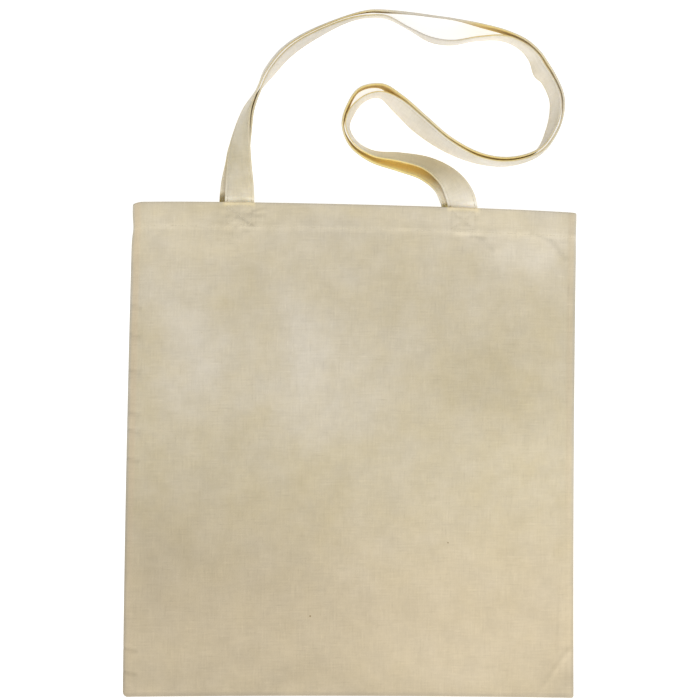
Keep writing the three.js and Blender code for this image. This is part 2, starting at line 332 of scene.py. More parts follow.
# Painted highlight and painted golden reflection on the mouth edge under the straps
STRAP_SIDE_RUN = (0.012, 0.015)
LIT_EDGE_LIGHT = 0.34
LIT_EDGE_RUN = (0.0005, 0.005)
REFLECTED_GLOW_GREY = -0.6
REFLECTED_GLOW_RUN = (0.001, 0.005)
SEAM_BLUR = (0.8, 1.2)
SEAM_RIM_RUN = (0.0008, 0.003)
LEFT_SEAM_WARMTH = 0.7
RIGHT_SEAM_WARMTH = 0.35
LOW_WARMTH = 0.6
LOW_WARMTH_RUN = (0.2, 0.36)

# Painted light and shade of the straps: shares lost beside the mouth at the left and the right, where minus
# means gained, so painted light on the front strap's ends and the back strap's right end, and a painted
# shadow where the back strap goes into the mouth at the left; and the share of painted light gained on the
# faces between the straps
FRONT_MOUTH_SHADES = (-0.42, -0.42)
FRONT_MOUTH_RUN = (0.0005, 0.006)
BACK_MOUTH_SHADES = (0.5, -0.3)
BACK_MOUTH_RUN = (0.004, 0.009)
INNER_LIGHT = 0.1
INNER_FACE_RUN = (-0.0006, 0.0004)


def linear(hex_colour):
    """Linear RGBA of an sRGB hex colour."""
    channels = []
    for start in (1, 3, 5):
        value = int(hex_colour[start:start + 2], 16) / 255
        channels.append(value / 12.92 if value <= 0.04045 else ((value + 0.055) / 1.055) ** 2.4)
    return (*channels, 1.0)


# Sizes and colours that a user would change


class ToteSizes(bpy.types.PropertyGroup):
    """Sizes of the sewn bag and straps as they lie."""

    mouth_width: FloatProperty(
        name="Mouth width", description="Width along the mouth", default=0.377, unit="LENGTH")
    bottom_width: FloatProperty(
        name="Bottom width", description="Width along the bottom seam", default=0.383, unit="LENGTH")
    left_height: FloatProperty(
        name="Left height", description="Length of the left side seam", default=0.42, unit="LENGTH")
    right_height: FloatProperty(
        name="Right height", description="Length of the right side seam", default=0.4115, unit="LENGTH")
    mouth_bow: FloatProperty(
        name="Mouth bow", description="How far the middle of the mouth bows out",
        default=0.002, unit="LENGTH")
    bottom_bow: FloatProperty(
        name="Bottom bow", description="How far the bottom seam bows out", default=-0.0013, unit="LENGTH")
    side_bow: FloatProperty(
        name="Side bow", description="How far both sides bow to the left", default=0.001, unit="LENGTH")
    corner_radius: FloatProperty(
        name="Corner radius", description="Rounding of the bottom corners", default=0.004, unit="LENGTH")
    layer: FloatProperty(
        name="Layer", description="Height that one layer of cloth takes up", default=0.001, unit="LENGTH")
    layer_gap: FloatProperty(
        name="Layer gap", description="Clear height between two layers", default=0.0003, unit="LENGTH")
    cloth: FloatProperty(
        name="Cloth", description="Thickness of the cloth itself", default=0.0009, unit="LENGTH")
    hem_depth: FloatProperty(
        name="Hem depth", description="Width of the hem that is turned in", default=0.022, unit="LENGTH")
    rise: FloatProperty(
        name="Rise", description="Height of the front over its seams", default=0.0062, unit="LENGTH")
    slope_width: FloatProperty(
        name="Slope width", description="Width of the slope beside a seam", default=0.06, unit="LENGTH")
    mouth_seam_run: FloatProperty(
        name="Mouth seam run", description="Length over which the seam thickens", default=0.04, unit="LENGTH")
    strap_width: FloatProperty(
        name="Strap width", description="Width of both straps", default=0.025, unit="LENGTH")
    strap_thickness: FloatProperty(
        name="Strap thickness", description="Thickness of both straps", default=0.0018, unit="LENGTH")
    back_lift: FloatProperty(
        name="Back lift", description="Share of the front strap's lift that the back one has",
        default=0.39, subtype="FACTOR")


class ToteSewing(bpy.types.PropertyGroup):
    """Sizes of the seams and stitches."""

    seam_allowance: FloatProperty(
        name="Seam allowance", description="Width of the turned edge inside the seams",
        default=0.0068, unit="LENGTH")
    seam_lift: FloatProperty(
        name="Seam lift", description="Height that the turned edge adds", default=0.0006, unit="LENGTH")
    seam_roll: FloatProperty(
        name="Seam roll", description="Width over which the cloth rolls into a seam",
        default=0.0024, unit="LENGTH")
    hem_line: FloatProperty(
        name="Hem line", description="Distance of the hem stitches below the mouth",
        default=0.0205, unit="LENGTH")
    hem_step: FloatProperty(
        name="Hem step", description="Height by which the hem stands over the single cloth",
        default=0.001, unit="LENGTH")
    hem_waist: FloatProperty(
        name="Hem waist", description="How far the hem stitches draw the left side in",
        default=0.001, unit="LENGTH")
    corner_droop: FloatProperty(
        name="Corner droop", description="How far the left corner of the mouth droops",
        default=0.0022, unit="LENGTH")
    groove: FloatProperty(
        name="Groove", description="Depth to which stitches pull the cloth in", default=0.0004, unit="LENGTH")
    box_top: FloatProperty(
        name="Box top", description="Distance of the strap end stitches below the mouth",
        default=0.003, unit="LENGTH")
    box_bottom: FloatProperty(
        name="Box bottom", description="Distance of their lower end below the mouth",
        default=0.0185, unit="LENGTH")
    edge_inset: FloatProperty(
        name="Edge inset", description="Distance of the strap stitches from the strap's edge",
        default=0.0024, unit="LENGTH")
    stitch_pitch: FloatProperty(
        name="Stitch pitch", description="Distance from one stitch to the next", default=0.003, unit="LENGTH")
    stitch_length: FloatProperty(
        name="Stitch length", description="Length of one stitch that shows", default=0.0024, unit="LENGTH")
    thread: FloatProperty(
        name="Thread", description="Width of the sewing thread", default=0.0006, unit="LENGTH")


class ToteColours(bpy.types.PropertyGroup):
    """Colours of the cloth and thread."""

    khaki: FloatVectorProperty(
        name="Khaki", description="Yellower tone of the cloth", default=linear("#ccbe9b"),
        size=4, min=0, max=1, subtype="COLOR")
    grey: FloatVectorProperty(
        name="Grey", description="Greyer tone of the cloth", default=linear("#d1c8b6"),
        size=4, min=0, max=1, subtype="COLOR")
    warm: FloatVectorProperty(
        name="Warm", description="Warmer tone along the seams and towards the bottom",
        default=linear("#cebda0"), size=4, min=0, max=1, subtype="COLOR")
    fleck: FloatVectorProperty(
        name="Fleck", description="Husk flecks in the yarn", default=linear("#8a7350"),
        size=4, min=0, max=1, subtype="COLOR")
    strap: FloatVectorProperty(
        name="Strap", description="Paler tone of the straps", default=linear("#efe7d9"),
        size=4, min=0, max=1, subtype="COLOR")
    # Painted shade: duller tone laid on strap faces that turn from the light
    strap_painted_shade: FloatVectorProperty(
        name="Strap dull", description="Duller tone of the straps", default=linear("#c9bc98"),
        size=4, min=0, max=1, subtype="COLOR")
    # Painted glow: golden colour that stands in for light bouncing between the two straps
    strap_painted_glow: FloatVectorProperty(
        name="Strap inner", description="Golden tone of the faces between the straps",
        default=linear("#ead186"), size=4, min=0, max=1, subtype="COLOR")
    thread: FloatVectorProperty(
        name="Thread", description="Sewing thread", default=linear("#ddd3ba"),
        size=4, min=0, max=1, subtype="COLOR")
    floor: FloatVectorProperty(
        name="Floor", description="Floor below the bag", default=linear("#bcbcbb"),
        size=4, min=0, max=1, subtype="COLOR")


class ToteStage(bpy.types.PropertyGroup):
    """Camera and lights."""

    camera_height: FloatProperty(
        name="Camera height", description="Height of the camera over the floor",
        default=1.5, unit="LENGTH")
    view_width: FloatProperty(
        name="View width", description="Width of the floor that the camera sees",
        default=0.595, unit="LENGTH")
    view_turn: FloatProperty(
        name="View turn", description="Turn of the camera about the vertical",
        default=math.radians(0.77), unit="ROTATION")
    view_centre: FloatVectorProperty(
        name="View centre", description="Place on the floor below the camera", default=(-0.0024, 0.0869),
        size=2, unit="LENGTH")
    sky: FloatProperty(name="Sky", description="Strength of the soft light all round", default=0.7)
    key: FloatProperty(name="Key", description="Power of the key light", default=47, unit="POWER")
    key_size: FloatProperty(name="Key size", description="Width of the key light", default=2, unit="LENGTH")
    key_place: FloatVectorProperty(
        name="Key place", description="Place of the key light from the view centre",
        default=(0.9, -2.05, 2.4), size=3, unit="LENGTH")
    floor_reach: FloatProperty(
        name="Floor reach", description="Half the width of the floor", default=20, unit="LENGTH")
    floor_glow: FloatProperty(name="Floor glow", description="Light that the floor gives off", default=0.78)


# Form of the panels


def lerp(start, end, share):
    return start + (end - start) * share


def smoothstep(value, low, high):
    share = min(max((value - low) / (high - low), 0), 1)
    return share * share * (3 - 2 * share)


def fade(value, low, high):
    """1 up to low, going smoothly down to 0 at high."""
    return 1 - smoothstep(value, low, high)


def hump(distance, reach):
    """1 at no distance, falling off like a bell beyond reach."""
    return math.exp(-(distance / reach) ** 2)


def oval(x, y, row):
    """1 in the middle of a row's area, falling off like a bell beyond its reach. x, y: in millimetres."""
    return math.exp(-(((x - row.x) / row.reach_x) ** 2 + ((y - row.y) / row.reach_y) ** 2))


def ripple(x, y, row):
    """Smooth noise between minus and plus a row's height."""
    return row.height * noise.noise(Vector((x / row.size, row.squeeze * y / row.size, row.layer)))


def span_shares(spans):
    """Shares from 0 to 1 of all the steps of the spans."""
    places = [spans[0].start]
    for span in spans:
        count = round((span.end - span.start) / span.step)
        places += [lerp(span.start, span.end, (i + 1) / count) for i in range(count)]
    return [(place - places[0]) / (places[-1] - places[0]) for place in places]


def near_line(x, y, x0, y0, x1, y1, reach):
    """1 on the line between two points, fading to 0 beside it and beyond its ends."""
    run_x, run_y = x1 - x0, y1 - y0
    share = ((x - x0) * run_x + (y - y0) * run_y) / (run_x ** 2 + run_y ** 2)
    share = min(max(share, 0), 1)
    away = ((x - x0 - share * run_x) ** 2 + (y - y0 - share * run_y) ** 2) / reach ** 2
    return math.exp(-away) if away < 9 else 0.0


class Panel:
    """Form of one panel of the bag. side is 1 for the front and -1 for the back.
    u runs from -1 at the left side to 1 at the right one, and below is the distance from the mouth."""

    def __init__(self, sizes, sewing, side):
        self.sizes = sizes
        self.sewing = sewing
        self.side = side
        self.fold = sizes.layer + sizes.layer_gap / 2
        self.bend = (sizes.layer + sizes.layer_gap) / 2

    def height(self, u):
        return lerp(self.sizes.left_height, self.sizes.right_height, (u + 1) / 2)

    def half_width(self, v):
        return lerp(self.sizes.bottom_width, self.sizes.mouth_width, v) / 2

    def place(self, u, v):
        """Place on the floor below a point of the panel, v from 0 at the bottom to 1 at the mouth."""
        sizes = self.sizes
        half = self.half_width(v)
        radius = sizes.corner_radius * (1 if u < 0 else RIGHT_CORNER_SHARE)
        inset = max(radius - (1 - abs(u)) * half, 0)
        corner = radius - math.sqrt(radius ** 2 - inset ** 2)
        from_hem_line = (1 - v) * self.height(u) - self.sewing.hem_line
        pull = 1 if u < 0 else RIGHT_PULL_SHARE
        waist = pull * self.sewing.hem_waist * hump(from_hem_line, WAIST_REACH) * abs(u) ** WAIST_POWER
        droop = pull * self.sewing.corner_droop * max(abs(u) - DROOP_START, 0) ** 2 / DROOP_RUN ** 2
        x = u * (half - sizes.cloth / 2 - waist) - 4 * v * (1 - v) * sizes.side_bow
        y = (v - 0.5) * self.height(u) + (1 - u * u) * lerp(-sizes.bottom_bow, sizes.mouth_bow, v)
        return x, y + corner * (1 - v) ** CORNER_POWER - droop * v ** CORNER_POWER

    def slope(self, distance):
        left = max(1 - distance / self.sizes.slope_width, 0)
        return 1 - left * left

    def inner(self, u, v, x, y):
        """Height of the inner face before any fine relief."""
        sizes = self.sizes
        if self.side < 0:
            return sizes.layer
        half = self.half_width(v)
        height = self.height(u)
        rise = self.slope((1 + u) * half) * self.slope((1 - u) * half) * self.slope(v * height)
        below = (1 - v) * height
        to_mouth = fade(below, sizes.hem_depth, sizes.hem_depth + sizes.mouth_seam_run)
        seam_level = (sizes.layer + sizes.layer_gap) * lerp(*SEAM_LAYERS, to_mouth)
        swell = sum(row.height * MM * oval(x / MM, y / MM, row) for row in SWELLS)
        slack = ripple(x, y, BROAD_SLACK) + ripple(x, y, FINE_SLACK)
        return seam_level + rise * (sizes.rise + (1 - to_mouth) * (swell + slack * MM))

    def anchors(self):
        """Middle of each strap end that is sewn to this panel."""
        first, last = COURSE[0], COURSE[-1]
        if self.side > 0:
            return first.x * MM, last.x * MM
        return (first.x + first.apart) * MM, (last.x - last.apart) * MM

    def box_lines(self):
        """Lines of the boxed cross at each strap end, as x and below of both ends."""
        sewing = self.sewing
        half = self.sizes.strap_width / 2 - sewing.edge_inset
        top, bottom = sewing.box_top, sewing.box_bottom
        lines = []
        for x in self.anchors():
            left, right = x - half, x + half
            lines += [(left, top, right, top), (right, top, right, bottom)]
            lines += [(right, bottom, left, bottom), (left, bottom, left, top)]
            lines += [(left, top, right, bottom), (left, bottom, right, top)]
        return lines

    def box_groove(self, x, below):
        """1 on the lines of the boxed crosses, fading to 0 beside them."""
        if below > BOX_REACH:
            return 0.0
        return max(near_line(x, below, *line, BOX_GROOVE_REACH) for line in self.box_lines())

    def sewn_relief(self, x, below):
        """Grooves and puckers of the hem stitches and of the boxed crosses."""
        sewing = self.sewing
        away = below - sewing.hem_line
        if away > SEWN_REACH:
            return 0.0
        groove = max(hump(away, HEM_GROOVE_REACH), self.box_groove(x, below))
        if self.side < 0:
            return BACK_GROOVE_SHARE * sewing.groove * groove
        level = sewing.hem_step * fade(away, *HEM_STEP_RUN) - sewing.groove * groove
        level += ripple(x, below, HEM_PUCKER) * math.exp(-abs(away) / HEM_PUCKER_REACH)
        for anchor in self.anchors():
            pucker = LEFT_END_PUCKER if anchor < 0 else RIGHT_END_PUCKER
            from_end = ((x - anchor) / STRAP_END_REACH_X) ** 2
            from_end += ((below - STRAP_END_MIDDLE) / STRAP_END_REACH_Y) ** 2
            level += (STRAP_END_LIFT + ripple(x, below, pucker)) * math.exp(-from_end)
        return level

    def relief(self, u, v, x, y, below):
        """Fine relief of the outer face: seams, sewing, creases and tucks."""
        sewing = self.sewing
        half = self.half_width(v)
        sides = min((1 + u) * half, (1 - u) * half)
        edge = min(sides, v * self.height(u))
        level = self.sewn_relief(x, below)
        if self.side < 0:
            return level
        level += sewing.seam_lift * fade(sides, sewing.seam_allowance - SEAM_STEP_RUN, sewing.seam_allowance)
        along_seam = y if edge == sides else x
        level += ripple(0, along_seam, SEAM_PUCKER) * math.exp(-edge / SEAM_PUCKER_REACH)
        for crease in CREASES:
            level += crease.height * MM * crease.share(x, y)
        return level

    def roll(self, u, v, z):
        """Height after the cloth has rolled into the seams at the sides and at the bottom."""
        half = self.half_width(v)
        edge = min((1 + u) * half, (1 - u) * half, v * self.height(u))
        share = min(max(edge / self.sewing.seam_roll, 0), 1)
        meeting = self.sizes.layer + self.sizes.layer_gap / 2 + self.side * SEAM_GAP
        return lerp(meeting, z, math.sqrt(1 - (1 - share) ** 2))

    def point(self, u, below, offset, rolled=1.0):
        """Point of the panel, offset outwards from its inner face."""
        v = 1 - below / self.height(u)
        x, y = self.place(u, v)
        z = self.inner(u, v, x, y) + self.side * offset + self.relief(u, v, x, y, below)
        return Vector((x, y, lerp(z, self.roll(u, v, z), rolled)))

    def tone(self, x, y, edge, below):
        """Painted light and shade: share of light that the cloth gains, and how much it leans to the greyer
        tone. edge is the distance from the seams, where shade is painted on the rolled cloth. The painted
        highlight on the ridge of the hem shows more to the right."""
        # Painted shade in the grooves of the boxed crosses
        tone = BOX_SHADE * self.box_groove(x, below) * (BOX_EVEN_SHARE + ripple(x, below, BOX_UNEVENNESS))
        # Painted highlight on the hem ridge, stronger to the right
        ridge = hump(below - self.sewing.hem_line, RIDGE_REACH)
        tone += RIDGE_LIGHT * ridge * (0.5 + 0.5 * smoothstep(x, *RIDGE_RUN) + ripple(x, 0, RIDGE_UNEVENNESS))
        # Painted shade and greying on the cloth rolled into the seams and at the mouth
        rim = max(fade(edge, *RIM_RUN), MOUTH_RIM_SHARE * fade(below, *RIM_RUN))
        tone += RIM_SHADE * rim
        grey = RIM_GREY * rim
        # Painted highlight and painted golden reflection on the mouth edge under each strap
        for anchor in self.anchors():
            under_strap = fade(abs(x - anchor), *STRAP_SIDE_RUN)
            tone += LIT_EDGE_LIGHT * under_strap * fade(below, *LIT_EDGE_RUN)
            grey += REFLECTED_GLOW_GREY * under_strap * fade(below, *REFLECTED_GLOW_RUN)
        # Patches of painted light and shade mixed with the cloth's own clouds
        cloudy_x = x / MM + ripple(x, y, BROAD_SWAY_X) + ripple(x, y, FINE_SWAY_X)
        cloudy_y = y / MM + ripple(x, y, BROAD_SWAY_Y) + ripple(x, y, FINE_SWAY_Y)
        for row in PATCHES:
            share = oval(cloudy_x, cloudy_y, row)
            tone += row.tone * share
            grey += row.grey * share
        # Painted shade in folds and tucks, painted highlights on ridges
        if self.side > 0:
            tone += sum(crease.tone * crease.share(x, y) for crease in CREASES)
        return tone, grey

    def warmth(self, u, side_edge, below):
        """How much the cloth leans to the warmer tone, along the seams and towards the bottom."""
        allowance = self.sewing.seam_allowance
        seam = fade(side_edge, allowance * SEAM_BLUR[0], allowance * SEAM_BLUR[1])
        seam *= smoothstep(side_edge, *SEAM_RIM_RUN)
        seam_warmth = LEFT_SEAM_WARMTH if u < 0 else RIGHT_SEAM_WARMTH
        return max(seam_warmth * seam, LOW_WARMTH * smoothstep(below, *LOW_WARMTH_RUN))


# Making of pieces


# Shares that the materials read: painted light and shade gained, and the lean to the second tone and to the
# third, which on the straps is the painted golden glow
SHARES = ("tone", "second_tone", "warmth_and_glow")


def grid_piece(columns, rows, place):
    """Bmesh of a sheet with that many columns and rows of faces. place(column, row) gives each corner's
    point, its place on the flat cloth, and the shares that the material reads."""
    bm = bmesh.new()
    bmesh.ops.create_grid(bm, x_segments=columns, y_segments=rows, size=0.5)
    uv_map = bm.loops.layers.uv.new("flat_cloth")
    layers = [bm.verts.layers.float.new(name) for name in SHARES]
    flat = {}
    for vert in bm.verts:
        column = round((vert.co.x + 0.5) * columns)
        row = round((vert.co.y + 0.5) * rows)
        vert.co, flat[vert], *shares = place(column, row)
        for layer, share in zip(layers, shares):
            vert[layer] = share
    for face in bm.faces:
        face.smooth = True
        for loop in face.loops:
            loop[uv_map].uv = flat[loop.vert]
    return bm


def add_piece(context, name, bm, material):
    """Object made of a bmesh, riding on the bag."""
    mesh = bpy.data.meshes.new(name)
    bm.to_mesh(mesh)
    bm.free()
    mesh.materials.append(material)
    piece = bpy.data.objects.new(name, mesh)
    context.scene.collection.objects.link(piece)
    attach(piece, BODY)
    return piece


def thicken(piece, thickness):
    """Gives a sheet its thickness on both sides, with softly rounded cut edges."""
    wall = piece.modifiers.new("Cloth thickness", "SOLIDIFY")
    wall.thickness = thickness
    wall.offset = 0
    rim = piece.modifiers.new("Soft edge", "BEVEL")
    rim.width = thickness / 4
    rim.segments = 2
    rim.limit_method = "ANGLE"
    rim.angle_limit = math.radians(60)


def panel_piece(context, name, side):
    """Panel laid into its lying form with the hem turned in."""
    sizes = context.scene.tote_sizes
    panel = Panel(sizes, context.scene.tote_sewing, side)
    across = [2 * share - 1 for share in span_shares(COLUMN_SPANS)]
    up = span_shares(ROW_SPANS)
    fold_rows, hem_rows = 8, 12
    hem_inset = 0.0025

    def place(column, row):
        u = across[column]
        height = panel.height(u)
        run = height - panel.fold
        if row < len(up):
            flat = up[row] * run
            co = panel.point(u, height - flat, sizes.layer / 2)
        elif row < len(up) + fold_rows:
            share = (row - len(up) + 1) / fold_rows
            turn = math.pi * share
            flat = run + panel.bend * turn
            below = panel.fold - panel.bend * math.sin(turn)
            offset = sizes.layer / 2 - panel.bend * (1 - math.cos(turn))
            u *= 1 - share * hem_inset / panel.half_width(1)
            co = panel.point(u, below, offset, 1 - share)
        else:
            hem = (row - len(up) - fold_rows + 1) / hem_rows * (sizes.hem_depth - panel.fold)
            flat = run + panel.bend * math.pi + hem
            u *= 1 - hem_inset / panel.half_width(1)
            co = panel.point(u, panel.fold + hem, sizes.layer / 2 - 2 * panel.bend, 0)
        side_edge = (1 - abs(u)) * panel.half_width(0.5)
        warm = panel.warmth(u, side_edge, height - flat)
        tone, grey = panel.tone(co.x, co.y, min(side_edge, BOTTOM_RIM_SHARE * flat), height - flat)
        return co, (u * sizes.bottom_width / 2, flat), tone, grey, warm

    bm = grid_piece(len(across) - 1, len(up) - 1 + fold_rows + hem_rows, place)
    if side < 0:
        bmesh.ops.reverse_faces(bm, faces=bm.faces)
    piece = add_piece(context, name, bm, bpy.data.materials["unbleached_calico"])
    thicken(piece, sizes.cloth)
    return piece


# Form of the straps


class StrapFrame(NamedTuple):
    """Place on a strap: its middle, its directions across, out of its face and along, the length so far,
    and the glow, dull and dim of its row."""

    middle: Vector
    across: Vector
    face: Vector
    along: Vector
    length: float
    glow: float
    dull: float
    dim: float


def catmull_rom(points, place, power):
    """Point and direction at a place, counted in rows, on a curve through the points. power is 0.5 where the
    rows' distances count and 0 where they don't."""
    first = min(int(place), len(points) - 2)
    t = place - first
    before = points[first - 1] if first else 2 * points[0] - points[1]
    start, end = points[first], points[first + 1]
    after = points[first + 2] if first + 2 < len(points) else 2 * points[-1] - points[-2]
    d0 = (start - before).length ** power or 1
    d1 = (end - start).length ** power or 1
    d2 = (after - end).length ** power or 1
    t1 = ((start - before) / d0 - (end - before) / (d0 + d1) + (end - start) / d1) * d1
    t2 = ((end - start) / d1 - (after - start) / (d1 + d2) + (after - end) / d2) * d1
    square = 3 * (end - start) - 2 * t1 - t2
    cube = 2 * (start - end) + t1 + t2
    point = start + t * t1 + t ** 2 * square + t ** 3 * cube
    return point, t1 + 2 * t * square + 3 * t ** 2 * cube


def strap_rows(sizes, is_back):
    """Points of one strap's course, and the lean, glow, dull and dim of each row."""
    points, states = [], []
    for i, row in enumerate(COURSE):
        before, after = COURSE[max(i - 1, 0)], COURSE[min(i + 1, len(COURSE) - 1)]
        along = Vector((after.x - before.x, after.y - before.y)).normalized()
        apart = row.apart if is_back else 0
        lift = row.lift * (sizes.back_lift if is_back else 1)
        points.append(Vector((row.x + along.y * apart, row.y - along.x * apart, lift)) * MM)
        states.append(Vector((row.back_lean if is_back else row.lean, row.glow, row.dull, row.dim)))
    return points, states


def strap_frames(sizes, is_back, steps_per_row):
    """Frames along one strap, from its left end to its right one."""
    points, states = strap_rows(sizes, is_back)
    frames = []
    length = 0
    for step in range((len(points) - 1) * steps_per_row + 1):
        place = step / steps_per_row
        middle, along = catmull_rom(points, place, 0.5)
        lean, *shares = catmull_rom(states, place, 0)[0]
        lean = math.radians(max(lean, 0))
        along = Vector((along.x, along.y, 0)).normalized()
        right = Vector((along.y, -along.x, 0))
        across = math.cos(lean) * right + Vector((0, 0, math.sin(lean)))
        standing = abs(math.sin(lean)) * sizes.strap_width + abs(math.cos(lean)) * sizes.strap_thickness
        middle.z += standing / 2
        if frames:
            length += (middle - frames[-1].middle).length
        frames.append(StrapFrame(middle, across, across.cross(along), along, length, *shares))
    return frames


def half_thickness(sizes, sewing, across):
    """Half the strap's thickness at a place across it: round at the edges, pulled in along the stitches."""
    edge = sizes.strap_width / 2 - abs(across)
    radius = sizes.strap_thickness / 2
    level = math.sqrt(radius ** 2 - max(radius - edge, 0) ** 2)
    return level - sewing.groove * hump(edge - sewing.edge_inset, STRAP_GROOVE_REACH)


def strap_piece(context, name, is_back):
    """Strap of folded cloth as a closed band with a slit along its upper folded edge."""
    sizes, sewing = context.scene.tote_sizes, context.scene.tote_sewing
    steps_per_row = 11
    frames = strap_frames(sizes, is_back, steps_per_row)
    mouth_left, mouth_right = frames[steps_per_row].length, frames[-1 - steps_per_row].length
    left_shade, right_shade = BACK_MOUTH_SHADES if is_back else FRONT_MOUTH_SHADES
    shade_run = BACK_MOUTH_RUN if is_back else FRONT_MOUTH_RUN
    face_columns = 30
    slit = 0.0004
    inner_sign = 1 if is_back else -1

    def place(column, row):
        spot = frames[row]
        turn = math.pi * column / face_columns
        across = -sizes.strap_width / 2 * math.cos(turn)
        sign = 1 if column <= face_columns else -1
        thick = sign * half_thickness(sizes, sewing, across)
        thick *= 1 + ripple(across, spot.length, STRAP_UNEVENNESS)
        reach = across - slit if column == face_columns else across
        co = spot.middle + spot.across * reach + spot.face * thick
        # Painted golden glow on the faces where the two straps face each other
        painted_glow = smoothstep(inner_sign * thick, *INNER_FACE_RUN) * spot.glow
        out_of_mouth = min(spot.length - mouth_left, mouth_right - spot.length)
        mouth_shade = left_shade if row < len(frames) / 2 else right_shade
        # Painted light and shade: light gained on the glowing faces, the row's dim, and the mouth's painted
        # shadow and light
        light = INNER_LIGHT * painted_glow - spot.dim - mouth_shade * fade(out_of_mouth, *shade_run)
        return co, (across, spot.length), light, spot.dull, painted_glow

    bm = grid_piece(2 * face_columns, len(frames) - 1, place)
    bmesh.ops.remove_doubles(bm, verts=bm.verts, dist=1e-6)
    open_edges = [edge for edge in bm.edges if edge.is_boundary]
    bmesh.ops.holes_fill(bm, edges=open_edges, sides=0)
    bmesh.ops.recalc_face_normals(bm, faces=bm.faces)
    return add_piece(context, name, bm, bpy.data.materials["folded_calico_strap"])


# Stitches


def stitch_template():
    """Mesh of one stitch, a ball of few faces that is drawn out for each stitch."""
    bm = bmesh.new()
    bmesh.ops.create_uvsphere(bm, u_segments=6, v_segments=4, radius=1)
    for face in bm.faces:
        face.smooth = True
    mesh = bpy.data.meshes.new("stitch")
    bm.to_mesh(mesh)
    bm.free()
    return mesh


def add_stitch(bm, template, sewing, middle, along, normal):
    """One stitch: a short thread that is thickest in the middle and dips into the cloth at both ends."""
    side = along.cross(normal).normalized()
    half_thread, half_length = sewing.thread / 2, sewing.stitch_length / 2
    columns = (side * half_thread, normal * half_thread, along.normalized() * half_length)
    stitch = template.copy()
    stitch.transform(Matrix.Translation(middle) @ Matrix(columns).transposed().to_4x4())
    bm.from_mesh(stitch)
    bpy.data.meshes.remove(stitch)


def stitch_places(length, pitch):
    """Distances of the middles of the stitches on a row of that length."""
    count = max(round(length / pitch), 1)
    return [(i + 0.5) * length / count for i in range(count)]


def stitch_panel_line(bm, template, panel, line):
    """Row of stitches on the outer face of a panel and on the inner face of its hem."""
    x0, below0, x1, below1 = line
    length = math.hypot(x1 - x0, below1 - below0)
    half = panel.half_width(1) - panel.sizes.cloth / 2
    faces = ((panel.sizes.layer / 2 + panel.sizes.cloth / 2, 1), (-2 * panel.bend, -1))
    step = 0.0005
    for distance in stitch_places(length, panel.sewing.stitch_pitch):
        for offset, sign in faces:
            corners = []
            for ahead in (-step, step):
                share = (distance + ahead) / length
                u = lerp(x0, x1, share) / half
                corners.append(panel.point(u, lerp(below0, below1, share), offset, 0))
            middle = (corners[0] + corners[1]) / 2
            along = corners[1] - corners[0]
            normal = Vector((0, 0, panel.side * sign))
            normal = (normal - normal.project(along)).normalized()
            add_stitch(bm, template, panel.sewing, middle, along, normal)


# Materials


def add_node(tree, kind, inputs=None, **settings):
    """Shader node with its settings. inputs gives values, or the sockets that are linked to it."""
    node = tree.nodes.new("ShaderNode" + kind)
    for name, value in settings.items():
        setattr(node, name, value)
    for socket, value in (inputs or {}).items():
        if isinstance(value, bpy.types.NodeSocket):
            tree.links.new(value, node.inputs[socket])
        else:
            node.inputs[socket].default_value = value
    return node


def new_material(name):
    """Empty node material, its tree and its shader."""
    material = bpy.data.materials.new(name)
    material.use_nodes = True
    tree = material.node_tree
    tree.nodes.clear()
    shader = add_node(tree, "BsdfPrincipled")
    add_node(tree, "OutputMaterial", {"Surface": shader.outputs["BSDF"]})
    return material, tree, shader


# Inputs of a colour Mix node
MIX_FACTOR, MIX_A, MIX_B, MIX_RESULT = 0, 6, 7, 2


